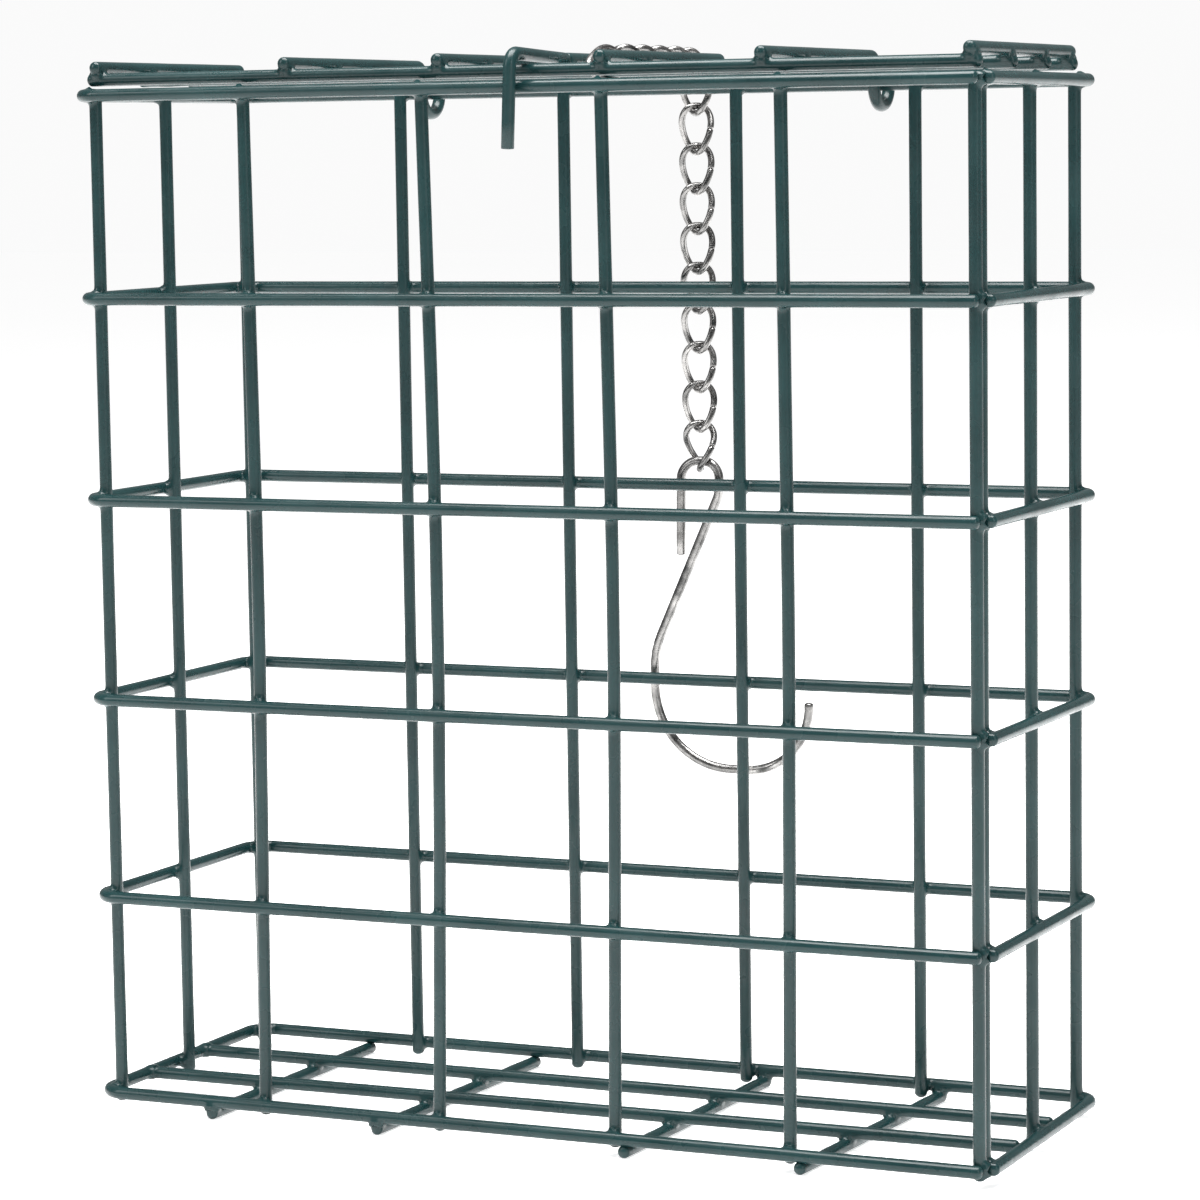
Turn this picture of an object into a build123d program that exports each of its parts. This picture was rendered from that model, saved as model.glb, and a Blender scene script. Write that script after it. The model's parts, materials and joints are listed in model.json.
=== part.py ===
from build123d import *
import os
from math import atan2, cos, degrees, radians, sin, sqrt

# Hanging cage feeder for a square block of bird food: a welded wire basket with a
# hinged wire lid, a spring latch, and a plated chain with a hanging hook.
#
# Frame: +Z up, +X to the right, -Y is the front. The origin is on the ground under
# the middle of the basket. Millimetres.

# ---- driving dimensions: coated wire ----
wire_d = 1.6
wire_r = wire_d / 2
weld_sink = 0.12  # how far two welded wires press into each other
step = wire_d - weld_sink  # centre to centre at a weld
end_round = 0.45  # rounding of a cut, coated wire end

# ---- driving dimensions: basket ----
basket_w = 117.0  # centre to centre of the corner uprights
basket_d = 38.5
level_pitch = 25.4
level_count = 5
column_count = 5
hoop_bend = 3.0  # centre-line radius of a hoop's corner
hoop_names = ["hoop_base", "hoop_1", "hoop_2", "hoop_3", "hoop_4", "hoop_top"]
front_columns = [0.93, 1.98, 3.0, 3.98]  # inner uprights, in columns from the left
rear_columns = [1.02, 2.03, 3.06, 4.09]
front_bow = [0.7, 1.3, 0.85, 0.45]  # of each inner front upright, to the right at mid height
bow_radius = 1500

# ---- driving dimensions: floor ----
floor_long_left = [-8.6, 5.6]  # Y of each long wire's left end
floor_long_right = [-7.0, 5.8]
floor_cross_front = [-43.7, -20.2, 13.5, 36.4]  # X of each cross wire's front end
floor_cross_rear = [-42.7, -17.9, 15.2, 39.4]
floor_overhang = 0.7  # past the front and rear runs of the base hoop

# ---- driving dimensions: lid ----
lid_gap = 0.35  # between the lid's long wires and the top hoop
lid_long_y = [-18.5, -6.1, 6.3, 16.5]
lid_cross_x = [-57.7, -30.9, -9.9, 11.6, 32.2, 57.9]
lid_cross_names = [
    "lid_end_wire_left",
    "lid_hinge_wire_left",
    "lid_cross_wire_left",
    "lid_cross_wire_right",
    "lid_hinge_wire_right",
    "lid_end_wire_right",
]
lid_overhang = 0.5  # of each lid wire past the wire that it is welded to
loop_r = 2.6  # hinge loop, centre-line radius about the hoop wire

# ---- driving dimensions: latch ----
latch_x = 1.5
latch_lean = 0.5  # the tail's foot stands this far to the left of its top
latch_rise = 0.6  # of the sprung arm above the lid's other cross wires
latch_split = 0.16  # gap at the root of the sprung arm
latch_clear = 0.35  # between the tail and the top hoop
latch_drop = 7.4  # of the tail's tip below the top hoop
latch_bend = 1.7

# ---- driving dimensions: chain and hook ----
chain_wire = 0.85
chain_x = 5.7
chain_pitch = 5.1
link_gap = 0.1  # slack between two links in line
bend_nest = 0.17  # how much closer two links sit where the chain bends sharply
link_half_width = 1.95
link_corner = 1.2
link_slit = 0.08  # butt joint in the side of a link
link_roll = 45  # each end of a link is turned this far, one each way
last_roll = 75  # the last link's end, across the hook's eye
chain_lie_z = 2.05  # height of the lying chain above the lid's long wires
chain_lying = 4  # twisted links that lie along the lid
chain_hanging = 10  # twisted links that hang behind the basket
edge_y = 19.1  # where the chain starts to turn over the lid's rear edge
edge_dip = 20  # downward slope of the link on the edge, degrees
hook_wire = 1.2

# ---- derived positions ----
hoop_x = basket_w / 2 + step
hoop_y = basket_d / 2 + step
base_z = wire_r + step
top_z = base_z + level_count * level_pitch
column_pitch = basket_w / column_count
upright_foot = base_z - 1.45
upright_top = top_z + wire_r + 0.05
corner_x = hoop_x - hoop_bend + (hoop_bend - step) / sqrt(2)
corner_y = hoop_y - hoop_bend + (hoop_bend - step) / sqrt(2)
seam_y = -basket_d / 2 + wire_d + 0.05  # the inner upright at the seam
lid_z = top_z + wire_d + lid_gap
lid_cross_z = lid_z + step


def straight_wire(name, start, end, radius=wire_r):
    """A straight round wire with rounded ends."""
    way = Vector(*end) - Vector(*start)
    with BuildPart() as wire:
        with BuildSketch(Plane(origin=start, z_dir=way)):
            Circle(radius)
        extrude(amount=way.length)
        fillet(wire.faces().filter_by(GeomType.PLANE).edges(), end_round)
    return finished(wire, name)


def bent_wire(name, points, radii, radius, rounding):
    """A round wire through the points, with a tangent bend at each corner."""
    with BuildPart() as wire:
        with BuildLine() as path:
            FilletPolyline(*points, radius=radii)
        with BuildSketch(Plane(origin=path.line @ 0, z_dir=path.line % 0)):
            Circle(radius)
        sweep(path=path.line)
        fillet(wire.faces().filter_by(GeomType.PLANE).edges(), rounding)
    return finished(wire, name)


def finished(wire, name):
    """Label a sub-part and write it."""
    wire.part.label = name
    export_step(wire.part, f"parts/{name}.step")
    return wire.part


os.makedirs("parts", exist_ok=True)

# ---- basket: six hoops, each one wire bent round three corners ----
# The front run ends on the outer corner upright and the side run on the inner one,
# so each hoop is open at the front right corner.
for level, name in enumerate(hoop_names):
    z = base_z + level * level_pitch
    hoop_points = [
        (basket_w / 2 + 0.9, -hoop_y, z),
        (-hoop_x, -hoop_y, z),
        (-hoop_x, hoop_y, z),
        (hoop_x, hoop_y, z),
        (hoop_x, seam_y - wire_d, z),
    ]
    bent_wire(name, hoop_points, [hoop_bend] * 3, wire_r, end_round)


# ---- basket: uprights, inside the hoops ----
def upright(name, x, y):
    return straight_wire(name, (x, y, upright_foot), (x, y, upright_top))


for number in range(column_count - 1):
    front_x = -basket_w / 2 + front_columns[number] * column_pitch
    rear_x = -basket_w / 2 + rear_columns[number] * column_pitch
    front_points = [
        (front_x, -basket_d / 2, upright_foot),
        (front_x + front_bow[number], -basket_d / 2, (upright_foot + upright_top) / 2),
        (front_x, -basket_d / 2, upright_top),
    ]
    bent_wire(f"front_upright_{number + 2}", front_points, [bow_radius], wire_r, end_round)
    upright(f"rear_upright_{number + 2}", rear_x, basket_d / 2)

upright("front_upright_1", -corner_x, -corner_y)
upright("rear_upright_1", -corner_x, corner_y)
upright("front_upright_6", basket_w / 2, -basket_d / 2)
upright("rear_upright_6", corner_x, corner_y)

upright("left_upright", -basket_w / 2, -0.8)
upright("right_upright", basket_w / 2, 0.3)
upright("seam_upright", basket_w / 2, seam_y)

# ---- floor: two long wires level with the base hoop, four cross wires under it ----
reach = hoop_x - wire_r + weld_sink
for side, left_y, right_y in zip(("front", "rear"), floor_long_left, floor_long_right):
    name = f"floor_long_wire_{side}"
    straight_wire(name, (-reach, left_y, base_z), (reach, right_y, base_z))
reach = hoop_y + floor_overhang
for number, (front_x, rear_x) in enumerate(zip(floor_cross_front, floor_cross_rear)):
    name = f"floor_cross_wire_{number + 1}"
    straight_wire(name, (front_x, -reach, wire_r), (rear_x, reach, wire_r))

# ---- lid: four long wires with the cross wires welded on top ----
lid_reach = lid_cross_x[-1] + wire_r + lid_overhang
for number, y in enumerate(lid_long_y):
    straight_wire(f"lid_long_wire_{number + 1}", (-lid_reach, y, lid_z), (lid_reach, y, lid_z))

lid_front_y = lid_long_y[0] - wire_r - lid_overhang
lid_rear_y = lid_long_y[-1] + wire_r + 0.6


def hinge_wire(name, x):
    """A cross wire that ends in an open loop round the rear run of the top hoop."""
    leg_y = hoop_y - loop_r
    under_z = top_z - loop_r
    loop_points = [
        (x, lid_front_y, lid_cross_z),
        (x, leg_y, lid_cross_z),
        (x, leg_y, under_z),
        (x, hoop_y + loop_r, under_z),
        (x, hoop_y + loop_r, top_z + 0.4),
    ]
    return bent_wire(name, loop_points, [1.2, loop_r - 0.1, loop_r - 0.1], wire_r, end_round)


for name, x in zip(lid_cross_names, lid_cross_x):
    if "hinge" in name:
        hinge_wire(name, x)
    else:
        straight_wire(name, (x, lid_front_y, lid_cross_z), (x, lid_rear_y, lid_cross_z))

# ---- latch: one more wire on the lid, whose front end is sprung and bent down ----
root_y = lid_long_y[1] - wire_r - 0.3
straight_wire(
    "latch_wire",
    (latch_x, root_y + latch_split / 2, lid_cross_z),
    (latch_x, lid_rear_y, lid_cross_z),
)

tail_y = -hoop_y - wire_d - latch_clear
latch_points = [
    (latch_x, root_y - latch_split / 2, lid_cross_z),
    (latch_x, tail_y, lid_cross_z + latch_rise),
    (latch_x - latch_lean, tail_y, top_z - latch_drop),
]
bent_wire("latch_hook", latch_points, [latch_bend], wire_r, 0.1)


# ---- chain ----
def bar_offset(bend):
    """From the point where two links meet to the centre of either link's end bar,
    so that the bars just clear each other when the chain bends by this angle."""
    half = radians(bend) / 2
    slack = link_gap - bend_nest * sin(half)
    return (chain_wire + slack) / 2 * sqrt(1 + sin(half) ** 2) / cos(half)


def chain_link(name, start, end, start_roll, end_roll):
    """One link between the centres of its end bars, in a plane parallel to YZ.

    Its ends are turned about its length, so that it hooks square into the next."""
    middle = (Vector(*start) + Vector(*end)) / 2
    way = Vector(*end) - Vector(*start)
    half = way.length / 2
    frame = Plane(origin=middle, x_dir=(1, 0, 0), z_dir=way)

    def corner(side, z, roll):
        across = side * link_half_width
        return frame.from_local_coords((across * cos(radians(roll)), across * sin(radians(roll)), z))

    far_right = corner(1, half, end_roll)
    far_left = corner(-1, half, end_roll)
    near_left = corner(-1, -half, start_roll)
    near_right = corner(1, -half, start_roll)
    side_middle = (far_right + near_right) / 2
    slit = (far_right - near_right).normalized() * (link_slit / 2)
    link_points = [
        side_middle + slit,
        far_right,
        far_left,
        near_left,
        near_right,
        side_middle - slit,
    ]
    return bent_wire(name, link_points, [link_corner] * 4, chain_wire / 2, 0.1)


# Meeting points of the links, from the lid to the hook, in the YZ plane at chain_x
# (the first is the centre of the lid wire that holds the chain).
full = chain_pitch + chain_wire + link_gap  # between the centres of a link's end bars
lie_z = lid_z + chain_lie_z
slopes = [0] * chain_lying + [-edge_dip] + [-90] * chain_hanging
first_meeting = (edge_y - chain_lying * chain_pitch, lie_z)
anchor_rise = lie_z - lid_z
anchor_run = first_meeting[0] - lid_long_y[1]
anchor_slope = degrees(atan2(anchor_rise, anchor_run))
headings = [anchor_slope] + slopes
meetings = [first_meeting]
for number, slope in enumerate(slopes):
    bend_in = abs(headings[number + 1] - headings[number])
    bend_out = 0
    if number + 1 < len(slopes):
        bend_out = abs(slopes[number + 1] - slope)
    if number == 0:
        bend_in = 0
    reach = full - bar_offset(bend_in) - bar_offset(bend_out)
    y, z = meetings[-1]
    meetings.append((y + reach * cos(radians(slope)), z + reach * sin(radians(slope))))


def on_chain(meeting, slope, along):
    """The point at a distance along a link's heading from a meeting point."""
    y, z = meeting
    return (chain_x, y + along * cos(radians(slope)), z + along * sin(radians(slope)))


anchor_start = on_chain((lid_long_y[1], lid_z), anchor_slope, -(wire_r + chain_wire / 2 + 0.1))
anchor_end = on_chain(meetings[0], anchor_slope, bar_offset(anchor_slope))
chain_link("chain_link_01", anchor_start, anchor_end, link_roll, link_roll)

for number, slope in enumerate(slopes):
    before = bar_offset(abs(slope - headings[number]))
    start = on_chain(meetings[number], slope, -before)
    end = on_chain(meetings[number], slope, full - before)
    end_roll = link_roll
    if number == len(slopes) - 1:
        end_roll = last_roll
    chain_link(f"chain_link_{number + 2:02d}", start, end, -link_roll, end_roll)

# ---- hook: an eye at the top, a slanting shank and a wide open curve ----
hook_y, hook_z = meetings[-1]
eye_top = hook_z + (hook_wire + link_gap) / 2


def hook_point(x, z):
    """A point of the hook, from the top of its eye."""
    return (chain_x + x, hook_y, eye_top + z)


hook_points = [
    hook_point(-2.9, -12.4),
    hook_point(-2.7, 0.0),
    hook_point(2.7, 0.0),
    hook_point(2.5, -4.4),
    hook_point(-6.8, -25.0),
    hook_point(-6.8, -40.2),
    hook_point(14.8, -40.2),
    hook_point(14.8, -31.0),
]
bent_wire("hook", hook_points, [2.5, 2.3, 2.6, 11, 10.6, 8.6], hook_wire / 2, 0.3)

print("meeting points (y, z):")
for number, (y, z) in enumerate(meetings):
    print(f"  {number + 1:2d}  {y:8.3f} {z:8.3f}")
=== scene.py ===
"""Hanging cage bird feeder: coated wire basket, hinged lid, latch, plated chain and hook.

Every wire is swept along its CAD centre-line. Where two wires are welded, the plastic
coating swells between them. Metres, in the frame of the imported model.
"""
import json
import math

import bmesh
import bpy
import numpy as np
from mathutils import Matrix, Vector


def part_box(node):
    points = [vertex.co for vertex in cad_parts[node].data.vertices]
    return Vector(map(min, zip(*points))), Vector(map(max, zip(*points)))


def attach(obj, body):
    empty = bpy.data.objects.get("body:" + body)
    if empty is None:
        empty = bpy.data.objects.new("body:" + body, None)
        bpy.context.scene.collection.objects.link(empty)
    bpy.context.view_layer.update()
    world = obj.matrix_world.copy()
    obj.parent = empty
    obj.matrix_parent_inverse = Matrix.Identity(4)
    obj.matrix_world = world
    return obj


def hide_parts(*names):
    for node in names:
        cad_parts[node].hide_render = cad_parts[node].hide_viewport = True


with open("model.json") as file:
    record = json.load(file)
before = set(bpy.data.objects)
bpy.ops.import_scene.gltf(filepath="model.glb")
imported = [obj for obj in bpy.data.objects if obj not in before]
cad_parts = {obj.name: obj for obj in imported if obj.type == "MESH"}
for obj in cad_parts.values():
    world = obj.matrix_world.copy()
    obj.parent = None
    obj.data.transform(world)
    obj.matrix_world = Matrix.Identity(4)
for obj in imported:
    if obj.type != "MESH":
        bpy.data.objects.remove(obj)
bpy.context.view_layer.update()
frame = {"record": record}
record = frame["record"]
bodies = record["behaviour"]["bodies"]
body_of = {node: body for body, nodes in bodies.items() for node in nodes}
MM = 0.001

# ---- sizes that the model shares with the CAD, in millimetres ----
WIRE_R = 0.8
HOOP_BEND = 3.0
BOW_RADIUS = 1500.0
SEAM_REACH = 0.9  # how far a hoop's front end runs past the corner upright's centre
HINGE_LOOP = 2.6
HINGE_BEND = 1.2
HINGE_ROUND = 2.5
HINGE_END_RISE = 0.4
LATCH_RISE = 0.6
LATCH_BEND = 1.7
HOOK_R = 0.6
LINK_R = 0.425
LINK_GAP = 0.1
LINK_NEST = 0.17
LINK_HALF_WIDTH = 1.92
LINK_ROLL = 45.0
LAST_ROLL = 75.0
LINK_FULLNESS = 2.7  # 2 would be an ellipse, more is squarer
LINK_JOINT = 0.002  # half of the gap where the link's wire closes, in radians
LINK_POINTS = 72

# ---- sizes of the coating ----
SIDES = 20
WELD_BLEND = 1.0  # how far the coating bridges between two welded wires
WELD_REACH = 1.35  # the furthest that it stands from a wire's centre
WELD_HIDE = 0.02  # a swelling dives this far under the other wire's surface
WELD_STATIONS = [0.0, 0.18, 0.36, 0.52, 0.66, 0.8, 0.94, 1.1, 1.3, 1.6, 2.1]
WELD_NEIGHBOUR = 4.0  # how much of the other wire is looked at, either way from the weld
END_ROUND = 0.75  # length of a rounded end, in radii
CUT_END_ROUND = 0.12  # of the latch's cut ends
END_RINGS = 6  # in each rounded end
UNEVENNESS = 0.008  # the coating thins by up to twice this share of the radius
WELD_DEPTH = 0.3  # a swelling stops when it is this deep in the other wire
SWELL_STEP = 0.02
CLOSEST_RINGS = 0.03
ARC_STEP = 5  # degrees


# ---------------------------------------------------------------- centre-lines
def box_mm(node):
    """A node's corners in millimetres."""
    low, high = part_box(node)
    return np.array(low) / MM, np.array(high) / MM


def rounded_path(points, radii):
    """A polyline through the points, with an arc of each radius at each inner corner."""
    points = [np.array(p, float) for p in points]
    path = [points[0]]
    for before, corner, after, radius in zip(points, points[1:], points[2:], radii):
        arriving = (corner - before) / np.linalg.norm(corner - before)
        leaving = (after - corner) / np.linalg.norm(after - corner)
        turn = math.acos(np.clip(arriving @ leaving, -1, 1))
        if turn < 1e-4:
            continue
        inward = leaving - arriving
        inward /= np.linalg.norm(inward)
        centre = corner + inward * radius / math.cos(turn / 2)
        steps = max(3, int(math.degrees(turn) / ARC_STEP))
        first = corner - arriving * radius * math.tan(turn / 2) - centre
        for k in range(steps + 1):
            angle = turn * k / steps
            path.append(centre + first * math.cos(angle) + arriving * radius * math.sin(angle))
    path.append(points[-1])
    return np.array(path)


def straight_path(node):
    """The centre-line of a straight wire, from its longest side; the floor's wires slant."""
    low, high = box_mm(node)
    middle = (low + high) / 2
    axis = int(np.argmax(high - low))
    start, end = middle.copy(), middle.copy()
    start[axis], end[axis] = low[axis], high[axis]
    if node.startswith("floor"):
        slant = 0 if node.startswith("floor_cross") else 1
        start[slant], end[slant] = low[slant] + WIRE_R, high[slant] - WIRE_R
    return np.array([start, end])


def bowed_path(node):
    """An upright that bends a little to the right."""
    low, high = box_mm(node)
    x = low[0] + WIRE_R
    y = (low[1] + high[1]) / 2
    bow = high[0] - low[0] - 2 * WIRE_R
    half = (high[2] - low[2]) / 2
    cut = BOW_RADIUS / (2 * half ** 2)  # the arc cuts the corner by this times apex squared
    apex = (1 - math.sqrt(1 - 4 * cut * bow)) / (2 * cut)
    middle = (low[2] + high[2]) / 2
    return rounded_path([(x, y, low[2]), (x + apex, y, middle), (x, y, high[2])], [BOW_RADIUS])


def hoop_path(node):
    """A hoop: one wire round three corners, open at the front right corner."""
    low, high = box_mm(node)
    x, y = high[0] - WIRE_R, high[1] - WIRE_R
    z = (low[2] + high[2]) / 2
    corner_low, corner_high = box_mm("front_upright_6")
    seam_low, seam_high = box_mm("seam_upright")
    front_end = (corner_low[0] + corner_high[0]) / 2 + SEAM_REACH
    side_end = (seam_low[1] + seam_high[1]) / 2 - 2 * WIRE_R
    points = [(front_end, -y, z), (-x, -y, z), (-x, y, z), (x, y, z), (x, side_end, z)]
    return rounded_path(points, [HOOP_BEND] * 3)


def hinge_path(node):
    """A lid wire that ends in an open loop round the rear run of the top hoop."""
    low, high = box_mm(node)
    hoop_low, hoop_high = box_mm("hoop_top")
    x = (low[0] + high[0]) / 2
    hoop_y = hoop_high[1] - WIRE_R
    hoop_z = (hoop_low[2] + hoop_high[2]) / 2
    top = high[2] - WIRE_R
    under = hoop_z - HINGE_LOOP
    points = [
        (x, low[1], top),
        (x, hoop_y - HINGE_LOOP, top),
        (x, hoop_y - HINGE_LOOP, under),
        (x, hoop_y + HINGE_LOOP, under),
        (x, hoop_y + HINGE_LOOP, hoop_z + HINGE_END_RISE),
    ]
    return rounded_path(points, [HINGE_BEND, HINGE_ROUND, HINGE_ROUND])


def latch_path(node):
    """The latch's sprung arm and the tail that hooks over the top hoop."""
    low, high = box_mm(node)
    root_low, root_high = box_mm("latch_wire")
    x = (root_low[0] + root_high[0]) / 2
    root_z = (root_low[2] + root_high[2]) / 2
    tail_y = low[1] + WIRE_R
    points = [
        (x, root_low[1], root_z),
        (x, tail_y, root_z + LATCH_RISE),
        (low[0] + WIRE_R, tail_y, low[2]),
    ]
    return rounded_path(points, [LATCH_BEND])


# ---------------------------------------------------------------- swept wires
def lengths(path):
    """The distance along a polyline at each of its points."""
    return np.concatenate([[0], np.cumsum(np.linalg.norm(np.diff(path, axis=0), axis=1))])


def at(path, run, s):
    """Points of a polyline at distances s along it."""
    return np.stack([np.interp(s, run, path[:, k]) for k in range(3)], axis=1)


def nearest(path_a, path_b):
    """Where two centre-lines come closest: (distance along a, distance along b, gap).

    The search looks at both lines whole, then four times closer round the best pair.
    """
    run_a, run_b = lengths(path_a), lengths(path_b)
    window_a, window_b = (0, run_a[-1]), (0, run_b[-1])
    for _ in range(5):
        s_a = np.linspace(*window_a, 60)
        s_b = np.linspace(*window_b, 60)
        gaps = np.linalg.norm(at(path_a, run_a, s_a)[:, None] - at(path_b, run_b, s_b)[None], axis=2)
        i, j = np.unravel_index(np.argmin(gaps), gaps.shape)
        reach_a = (window_a[1] - window_a[0]) / 20
        reach_b = (window_b[1] - window_b[0]) / 20
        window_a = (max(0, s_a[i] - reach_a), min(run_a[-1], s_a[i] + reach_a))
        window_b = (max(0, s_b[j] - reach_b), min(run_b[-1], s_b[j] + reach_b))
    return s_a[i], s_b[j], gaps[i, j]


def distance_to(points, line):
    """The distance of each point to a short polyline."""
    best = np.full(len(points), 1e9)
    for a, b in zip(line[:-1], line[1:]):
        way = b - a
        t = np.clip((points - a) @ way / (way @ way), 0, 1)
        best = np.minimum(best, np.linalg.norm(points - a - t[:, None] * way, axis=1))
    return best


def frames(path):
    """Two normals at each point of the path, which don't twist along it."""
    tangent = np.gradient(path, axis=0)
    tangent /= np.linalg.norm(tangent, axis=1)[:, None]
    side = np.cross(tangent[0], (0.3, 0.5, 0.81))
    side /= np.linalg.norm(side)
    sides = [side]
    for t in tangent[1:]:
        side = side - t * (side @ t)
        side /= np.linalg.norm(side)
        sides.append(side)
    sides = np.array(sides)
    return sides, np.cross(tangent, sides)


def stations(run, crossings, spacing, end_length):
    """Where the rings stand along a wire: close together at bends, welds and ends."""
    marks = [0.0, run[-1]]
    marks += list(run)
    for k in range(1, END_RINGS + 1):
        offset = end_length * (1 - math.cos(math.pi / 2 * k / END_RINGS))
        marks += [offset, run[-1] - offset]
    for s, _ in crossings:
        for offset in WELD_STATIONS:
            marks += [s - offset, s + offset]
    marks = sorted(m for m in marks if 0 <= m <= run[-1])
    out = [marks[0]]
    for m in marks[1:]:
        gap = m - out[-1]
        if gap < CLOSEST_RINGS:
            continue
        for k in range(1, int(gap / spacing) + 1):
            out.append(out[-1] + gap / (int(gap / spacing) + 1))
        out.append(m)
    out[-1] = run[-1]
    return np.array(out)


def weld_swelling(centres, directions, radius, line, other_radius):
    """The radius at which the coating's surface lies, along each direction."""
    reach = np.full(len(centres), radius)
    growing = np.ones(len(centres), bool)
    for rho in np.arange(radius, WELD_REACH, SWELL_STEP):
        own = rho - radius
        other = distance_to(centres + directions * rho, line) - other_radius + WELD_HIDE
        near = np.maximum(WELD_BLEND - np.abs(own - other), 0) / WELD_BLEND
        inside = np.minimum(own, other) - near ** 2 * WELD_BLEND / 4 <= 0
        growing &= inside & (other > -WELD_DEPTH)
        reach[growing] = rho
    return reach


def tube(name, path, radius, crossings=(), spacing=4.0, end_length=None, seed=0, sides=SIDES):
    """A round wire along a path, with rounded ends and a swelling at each weld.

    crossings is a list of (distance along the path, (other wire's line, radius)).
    """
    end_length = radius * END_ROUND if end_length is None else end_length
    run = lengths(path)
    s = stations(run, crossings, spacing, end_length)
    ring_centres = at(path, run, s)
    side, up = frames(ring_centres)
    angle = np.arange(sides) * 2 * math.pi / sides
    directions = side[:, None] * np.cos(angle)[None, :, None]
    directions = directions + up[:, None] * np.sin(angle)[None, :, None]
    radii = np.full((len(s), sides), radius)
    waves = np.sin(s * 0.33 + seed) * np.sin(s * 0.071 + 2.1 * seed)
    radii *= (1 - UNEVENNESS * (1 + waves))[:, None]
    for place, (line, other_radius) in crossings:
        close = np.abs(s - place) <= WELD_STATIONS[-1] + 0.01
        rows = np.nonzero(close)[0]
        centres = np.repeat(ring_centres[rows], sides, axis=0)
        swollen = weld_swelling(centres, directions[rows].reshape(-1, 3), radius, line, other_radius)
        radii[rows] = np.maximum(radii[rows], swollen.reshape(len(rows), sides))
    from_end = np.minimum(s, run[-1] - s)
    cap = np.clip(1 - from_end / end_length, 0, 1)
    radii *= np.sqrt(np.maximum(1 - cap ** 2, 0.0))[:, None]
    verts = ring_centres[:, None] + directions * radii[:, :, None]
    verts = verts[1:-1].reshape(-1, 3)
    rings = len(s) - 2
    faces = []
    for ring in range(rings - 1):
        a = ring * sides
        for k in range(sides):
            n = (k + 1) % sides
            faces.append((a + k, a + n, a + sides + n, a + sides + k))
    first, last = len(verts), len(verts) + 1
    verts = np.concatenate([verts, ring_centres[:1], ring_centres[-1:]])
    for k in range(sides):
        n = (k + 1) % sides
        faces.append((n, k, first))
        a = (rings - 1) * sides
        faces.append((a + k, a + n, last))
    return mesh_object(name, verts, faces)


def mesh_object(name, verts, faces):
    """An object from vertices in millimetres, smooth, with its faces turned outwards."""
    mesh = bpy.data.meshes.new(name)
    mesh.from_pydata([tuple(v) for v in np.asarray(verts) * MM], [], faces)
    mesh.validate()
    mesh.shade_smooth()
    obj = bpy.data.objects.new(name, mesh)
    bpy.context.scene.collection.objects.link(obj)
    work = bmesh.new()
    work.from_mesh(mesh)
    bmesh.ops.recalc_face_normals(work, faces=work.faces)
    work.to_mesh(mesh)
    work.free()
    return obj


# ---------------------------------------------------------------- materials
class Material:
    """A node material: its Principled shader, and short ways to drive its sockets."""

    def __init__(self, name):
        self.data = bpy.data.materials.new(name)
        self.data.use_nodes = True
        self.nodes = self.data.node_tree.nodes
        self.links = self.data.node_tree.links
        self.sockets = self.nodes["Principled BSDF"].inputs
        self.place = self.nodes.new("ShaderNodeTexCoord")

    def set(self, socket, value):
        self.sockets[socket].default_value = value

    def drive(self, socket, output):
        self.links.new(output, self.sockets[socket])

    def noise(self, scale, detail=3.0):
        texture = self.nodes.new("ShaderNodeTexNoise")
        texture.inputs["Scale"].default_value = scale
        texture.inputs["Detail"].default_value = detail
        self.links.new(self.place.outputs["Object"], texture.inputs["Vector"])
        return texture.outputs["Fac"]

    def blend(self, value, stops):
        """A colour that runs between two stops, each (position, colour)."""
        node = self.nodes.new("ShaderNodeValToRGB")
        for element, (position, colour) in zip(node.color_ramp.elements, stops):
            element.position = position
            element.color = (*colour, 1)
        self.links.new(value, node.inputs["Fac"])
        return node.outputs["Color"]

    def spread(self, value, low, high):
        """Stretches the middle of a noise over low to high."""
        node = self.nodes.new("ShaderNodeMapRange")
        node.inputs["From Min"].default_value = 0.3
        node.inputs["From Max"].default_value = 0.7
        node.inputs["To Min"].default_value = low
        node.inputs["To Max"].default_value = high
        self.links.new(value, node.inputs["Value"])
        return node.outputs["Result"]

    def bump(self, layers):
        """Roughens the surface by layers of (noise, depth in metres)."""
        normal = None
        for value, depth in layers:
            node = self.nodes.new("ShaderNodeBump")
            node.inputs["Strength"].default_value = 1.0
            node.inputs["Distance"].default_value = depth
            self.links.new(value, node.inputs["Height"])
            if normal is not None:
                self.links.new(normal, node.inputs["Normal"])
            normal = node.outputs["Normal"]
        self.drive("Normal", normal)


def coated_wire_material():
    """Dark green plastic, dip coated: glossy, a little uneven."""
    look = Material("coated_wire")
    greens = [(0.3, (0.0045, 0.021, 0.022)), (0.7, (0.009, 0.034, 0.035))]
    look.drive("Base Color", look.blend(look.noise(90, 4), greens))
    look.drive("Roughness", look.spread(look.noise(260), 0.2, 0.36))
    look.set("Specular IOR Level", 0.26)
    look.set("Coat Weight", 0.12)
    look.set("Coat Roughness", 0.12)
    look.bump([(look.noise(320, 2), 0.00002), (look.noise(1500, 2), 0.000004)])
    return look.data


def plated_steel_material():
    """Bright zinc plating: metallic, with slight dulling, and soft streaks of dark and bright colour
    that are partly plating tone and partly painted reflections.
    """
    look = Material("plated_steel")
    # painted reflections: the wide dark-to-bright spread of this base colour stands in for
    # reflections; only part of it is the plating's own tone
    greys_and_painted_reflections = [(0.3, (0.09, 0.09, 0.089)), (0.7, (0.42, 0.41, 0.40))]
    look.drive("Base Color", look.blend(look.noise(420, 4), greys_and_painted_reflections))
    look.set("Metallic", 1.0)
    look.drive("Roughness", look.spread(look.noise(900), 0.2, 0.36))
    look.bump([(look.noise(700), 0.00002), (look.noise(3500, 2), 0.000004)])
    return look.data


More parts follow.
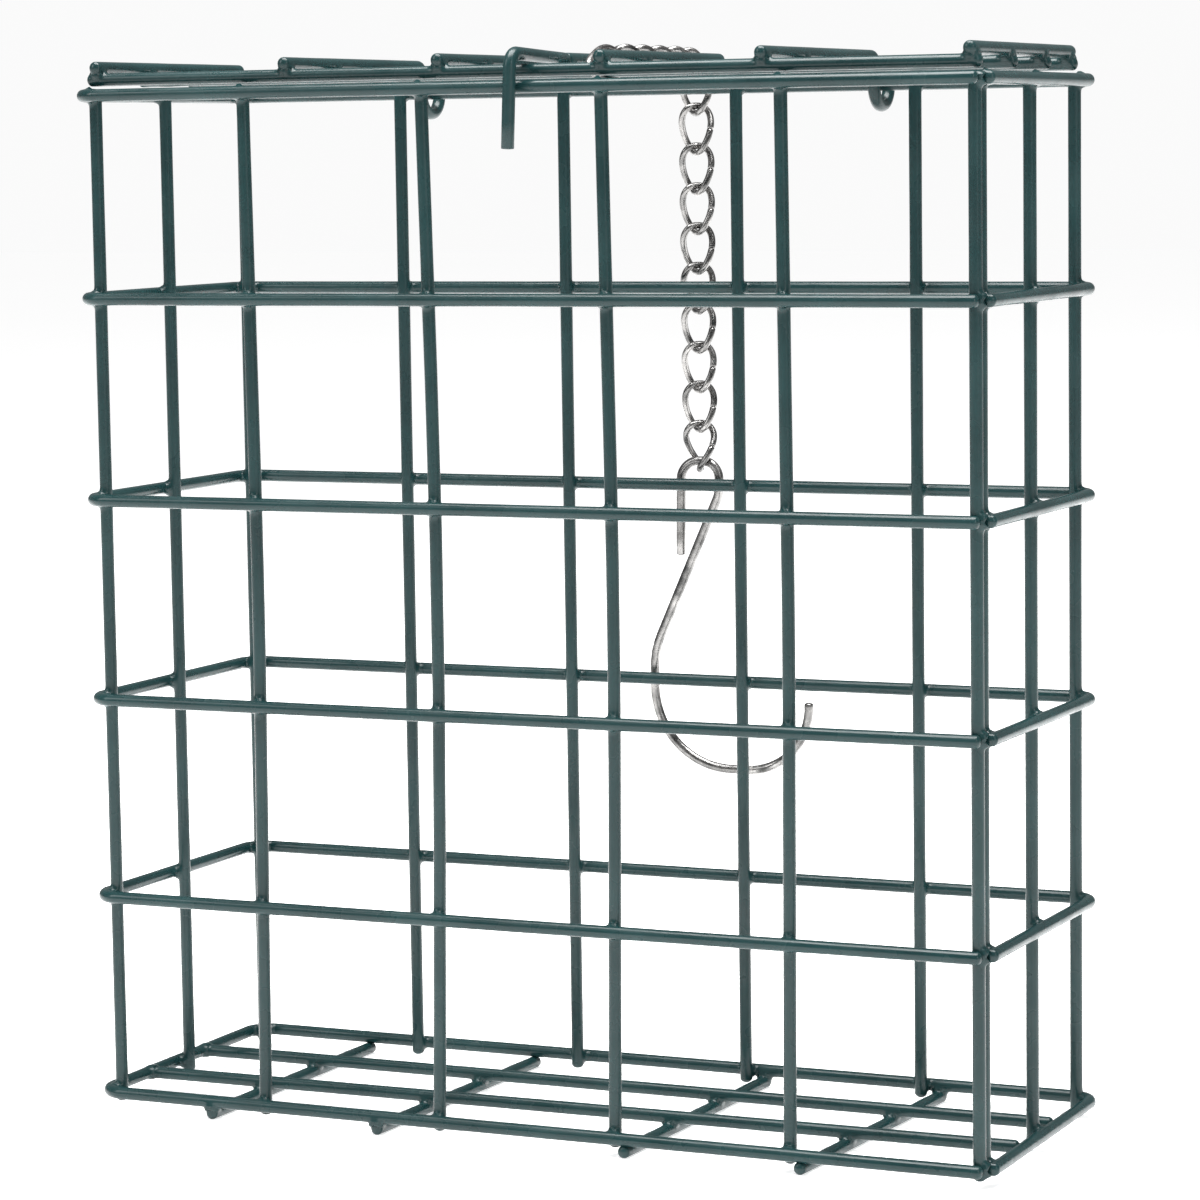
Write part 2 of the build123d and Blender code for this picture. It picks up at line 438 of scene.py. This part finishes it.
def floor_material():
    """Pale and matt, with a glow that evens out the floor's far end."""
    look = Material("pale_floor")
    whites = [(0.3, (0.86, 0.86, 0.86)), (0.7, (0.8514, 0.8514, 0.8514))]
    look.drive("Base Color", look.blend(look.noise(3, 2), whites))
    look.set("Roughness", 0.9)
    look.set("Emission Color", (1, 1, 1, 1))
    look.set("Emission Strength", 0.7)
    return look.data


coated = coated_wire_material()
plated = plated_steel_material()


def finish_piece(obj, node, material):
    """Gives a piece its material and its body, and hides the CAD node that it stands for."""
    obj.data.materials.append(material)
    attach(obj, body_of[node])
    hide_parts(node)


# ---------------------------------------------------------------- coated wires
def wire_path(node):
    """The centre-line of a coated wire's node."""
    if node.startswith("hoop"):
        return hoop_path(node)
    if node in ("front_upright_2", "front_upright_3", "front_upright_4", "front_upright_5"):
        return bowed_path(node)
    if "hinge_wire" in node:
        return hinge_path(node)
    if node == "latch_hook":
        return latch_path(node)
    return straight_path(node)


coated_nodes = sorted(n for n in body_of if not n.startswith("chain") and n != "hook")
paths = {node: wire_path(node) for node in coated_nodes}
welds = {node: [] for node in coated_nodes}
for first, second in record["behaviour"]["press_fits"]:
    place_1, place_2, gap = nearest(paths[first], paths[second])
    if gap > 2 * WIRE_R:
        continue
    for node, place, other, other_place in (
        (first, place_1, second, place_2),
        (second, place_2, first, place_1),
    ):
        run = lengths(paths[other])
        offsets = np.linspace(-WELD_NEIGHBOUR, WELD_NEIGHBOUR, 17)
        near = np.clip(other_place + offsets, 0, run[-1])
        line = at(paths[other], run, np.unique(near))
        welds[node].append((place, (line, WIRE_R)))

for number, node in enumerate(coated_nodes):
    piece = tube(
        f"coated_{node}", paths[node], WIRE_R, welds[node], seed=number * 1.7,
        end_length=CUT_END_ROUND if node == "latch_hook" else None,
    )
    finish_piece(piece, node, coated)


# ---------------------------------------------------------------- chain and hook
def bar_offset(bend):
    """From the point where two links meet to the centre of either link's end bar."""
    half = bend / 2
    slack = LINK_GAP - LINK_NEST * math.sin(half)
    return (2 * LINK_R + slack) / 2 * math.sqrt(1 + math.sin(half) ** 2) / math.cos(half)


def fuller(wave):
    """A sine or cosine, raised so that the oval drawn with it is fuller."""
    return math.copysign(abs(wave) ** (2 / LINK_FULLNESS), wave)


def link_path(start, end, start_roll, end_roll):
    """A link's centre-line: an oval whose ends are turned about its length."""
    way = end - start
    half = np.linalg.norm(way) / 2
    along = way / np.linalg.norm(way)
    x_axis = np.array([1.0, 0.0, 0.0])
    y_axis = np.cross(along, x_axis)
    points = []
    for phi in np.linspace(LINK_JOINT, 2 * math.pi - LINK_JOINT, LINK_POINTS):
        across = LINK_HALF_WIDTH * fuller(math.cos(phi))
        u = fuller(math.sin(phi))
        roll = math.radians(start_roll + (end_roll - start_roll) * (u + 1) / 2)
        points.append(
            (start + end) / 2 + along * half * u
            + x_axis * across * math.cos(roll) + y_axis * across * math.sin(roll)
        )
    return np.array(points)


joint_at = {j["child"]: np.array(j["pos_m"]) / MM for j in record["behaviour"]["joints"]}
link_names = sorted(n for n in body_of if n.startswith("chain"))
meetings = [joint_at[n] for n in link_names[1:]] + [joint_at["hook"]]
places = [joint_at[link_names[0]]] + meetings
headings = [b - a for a, b in zip(places[:-1], places[1:])]
headings = [h / np.linalg.norm(h) for h in headings]
bends = [math.acos(np.clip(a @ b, -1, 1)) for a, b in zip(headings[:-1], headings[1:])] + [0.0]

for number, node in enumerate(link_names):
    heading = headings[number]
    if number == 0:
        start = places[0] - heading * (WIRE_R + LINK_R + LINK_GAP)
        rolls = (LINK_ROLL, LINK_ROLL)
    else:
        start = places[number] - heading * bar_offset(bends[number - 1])
        rolls = (-LINK_ROLL, LAST_ROLL if node == link_names[-1] else LINK_ROLL)
    end = places[number + 1] + heading * bar_offset(bends[number])
    path = link_path(start, end, *rolls)
    piece = tube(f"plated_{node}", path, LINK_R, spacing=0.4, end_length=0.05, sides=14, seed=number)
    finish_piece(piece, node, plated)

hook_x, hook_y, hook_z = joint_at["hook"]
eye_top = hook_z + HOOK_R + LINK_GAP / 2
HOOK_OUTLINE = [
    (-2.9, -12.4), (-2.7, 0.0), (2.7, 0.0), (2.5, -4.4),
    (-6.8, -25.0), (-6.8, -40.2), (14.8, -40.2), (14.8, -31.0),
]
HOOK_BENDS = [2.5, 2.3, 2.6, 11, 10.6, 8.6]
hook_line = rounded_path([(hook_x + x, hook_y, eye_top + z) for x, z in HOOK_OUTLINE], HOOK_BENDS)
piece = tube("plated_hook", hook_line, HOOK_R, spacing=1.5, end_length=0.3)
finish_piece(piece, "hook", plated)


# ---------------------------------------------------------------- studio
FLOOR_HALF = 4.0
LIT_POINT = (0, 0, 0.065)
ROOM_LIGHT = 0.3
BACKDROP = 0.96


def area_light(name, place, size, power):
    """A soft rectangular light turned to the middle of the basket."""
    data = bpy.data.lights.new(name, "AREA")
    data.shape = "RECTANGLE"
    data.size, data.size_y = size
    data.energy = power
    light = bpy.data.objects.new(name, data)
    light.location = place
    towards = Vector(LIT_POINT) - Vector(place)
    light.rotation_euler = towards.to_track_quat("-Z", "Y").to_euler()
    bpy.context.scene.collection.objects.link(light)


def studio_world():
    """A white backdrop to the eye, and a dimmer, even room light on the object."""
    world = bpy.data.worlds.new("studio")
    world.use_nodes = True
    nodes, links = world.node_tree.nodes, world.node_tree.links
    room = nodes["Background"]
    room.inputs["Color"].default_value = (1, 1, 1, 1)
    room.inputs["Strength"].default_value = ROOM_LIGHT
    backdrop = nodes.new("ShaderNodeBackground")
    backdrop.inputs["Color"].default_value = (1, 1, 1, 1)
    backdrop.inputs["Strength"].default_value = BACKDROP
    path = nodes.new("ShaderNodeLightPath")
    mix = nodes.new("ShaderNodeMixShader")
    links.new(path.outputs["Is Camera Ray"], mix.inputs[0])
    links.new(room.outputs["Background"], mix.inputs[1])
    links.new(backdrop.outputs["Background"], mix.inputs[2])
    links.new(mix.outputs["Shader"], nodes["World Output"].inputs["Surface"])
    bpy.context.scene.world = world


floor_corners = np.array([(-1, -1, 0), (1, -1, 0), (1, 1, 0), (-1, 1, 0)]) * FLOOR_HALF / MM
floor = mesh_object("studio_floor", floor_corners, [(0, 1, 2, 3)])
floor.data.materials.append(floor_material())

area_light("overhead", (0.02, -0.06, 0.75), (0.7, 0.5), 16)
area_light("front_left", (-0.6, -0.6, 0.5), (0.25, 0.5), 2.2)
area_light("right_fill", (0.8, -0.5, 0.4), (0.2, 0.5), 1.6)
studio_world()
bpy.context.scene.view_settings.view_transform = "Standard"


# ---------------------------------------------------------------- camera
CAMERA_PLACE = (0.21655, -0.47201, 0.1220)
CAMERA_TURN = math.radians(24.45)
CAMERA_DIP = math.radians(6.21)
CAMERA_ROLL = math.radians(-0.82)
CAMERA_LENS = 124.9
CAMERA_SENSOR = 36


def camera_turn():
    """The camera's rotation, from its turn about Z, its dip and its roll."""
    forward = Vector((
        -math.sin(CAMERA_TURN) * math.cos(CAMERA_DIP),
        math.cos(CAMERA_TURN) * math.cos(CAMERA_DIP),
        -math.sin(CAMERA_DIP),
    ))
    right = Vector((math.cos(CAMERA_TURN), math.sin(CAMERA_TURN), 0))
    up = right.cross(forward)
    rolled_right = right * math.cos(CAMERA_ROLL) + up * math.sin(CAMERA_ROLL)
    rolled_up = up * math.cos(CAMERA_ROLL) - right * math.sin(CAMERA_ROLL)
    return Matrix((rolled_right, rolled_up, -forward)).transposed().to_4x4()


camera_data = bpy.data.cameras.new("camera")
camera_data.lens = CAMERA_LENS
camera_data.sensor_width = CAMERA_SENSOR
camera_data.clip_start = 0.01
camera = bpy.data.objects.new("camera", camera_data)
bpy.context.scene.collection.objects.link(camera)
camera.matrix_world = Matrix.Translation(CAMERA_PLACE) @ camera_turn()
bpy.context.scene.camera = camera
